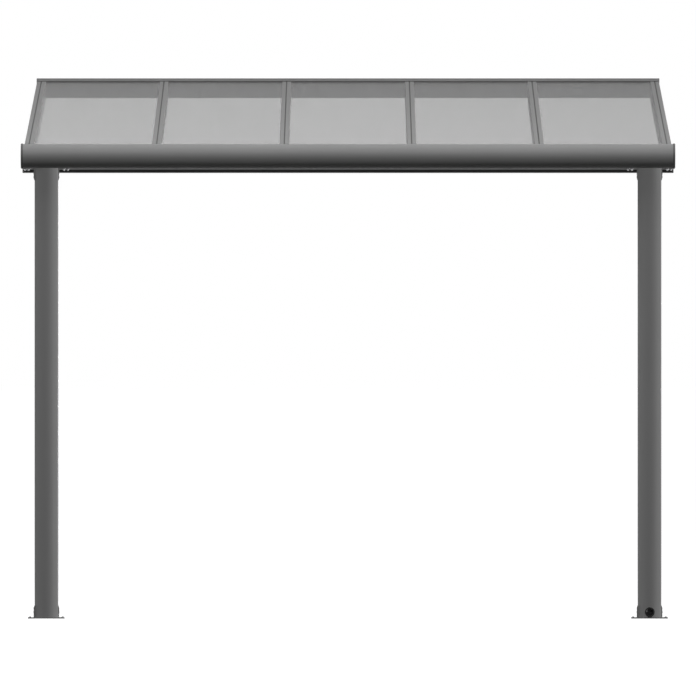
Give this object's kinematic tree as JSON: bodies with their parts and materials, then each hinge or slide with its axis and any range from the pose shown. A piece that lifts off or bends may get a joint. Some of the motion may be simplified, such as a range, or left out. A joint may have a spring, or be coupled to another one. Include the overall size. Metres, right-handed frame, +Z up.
{
  "type": "patio cover",
  "caption": "Lean-to patio cover: sloping twin-wall roof on rafters, held by a wall profile and by a half-round gutter on posts with a hidden drain pipe.",
  "frame": {"origin": "middle of the wall profile's flat back face, where it lies on the wall", "axes": "+X along the wall, to the right seen from the front; +Y into the wall; +Z up"},
  "size_m": [3.055, 2.9525, 2.574],
  "materials": {
    "aluminium_frame": "grey powder coat, satin",
    "end_cap": "moulded grey plastic, satin",
    "bracket": "grey powder coat, satin",
    "twin_wall_sheet": "translucent twin-wall polycarbonate sheet, fluted down the slope",
    "drain": "black moulded plastic, satin"
  },
  "bodies": {
    "root": {"wall_profile": "aluminium_frame", "wall_cover": "aluminium_frame", "wall_end_cap_left": "end_cap", "wall_end_cap_right": "end_cap", "gutter": "aluminium_frame", "gutter_end_cap_left": "end_cap", "gutter_end_cap_right": "end_cap", "post_left": "aluminium_frame", "post_right": "aluminium_frame", "post_foot_left": "bracket", "post_foot_right": "bracket", "head_bracket_left_inner": "bracket", "head_bracket_left_outer": "bracket", "head_bracket_right_inner": "bracket", "head_bracket_right_outer": "bracket", "drain_spout": "drain", "drain_pipe": "drain", "drain_outlet": "drain", "rafter_1": "aluminium_frame", "rafter_cap_1": "aluminium_frame", "rafter_2": "aluminium_frame", "rafter_cap_2": "aluminium_frame", "rafter_3": "aluminium_frame", "rafter_cap_3": "aluminium_frame", "rafter_4": "aluminium_frame", "rafter_cap_4": "aluminium_frame", "rafter_5": "aluminium_frame", "rafter_cap_5": "aluminium_frame", "rafter_6": "aluminium_frame", "rafter_cap_6": "aluminium_frame", "roof_panel_1": "twin_wall_sheet", "panel_trim_1": "aluminium_frame", "roof_panel_2": "twin_wall_sheet", "panel_trim_2": "aluminium_frame", "roof_panel_3": "twin_wall_sheet", "panel_trim_3": "aluminium_frame", "roof_panel_4": "twin_wall_sheet", "panel_trim_4": "aluminium_frame", "roof_panel_5": "twin_wall_sheet", "panel_trim_5": "aluminium_frame"}
  },
  "joints": []
}
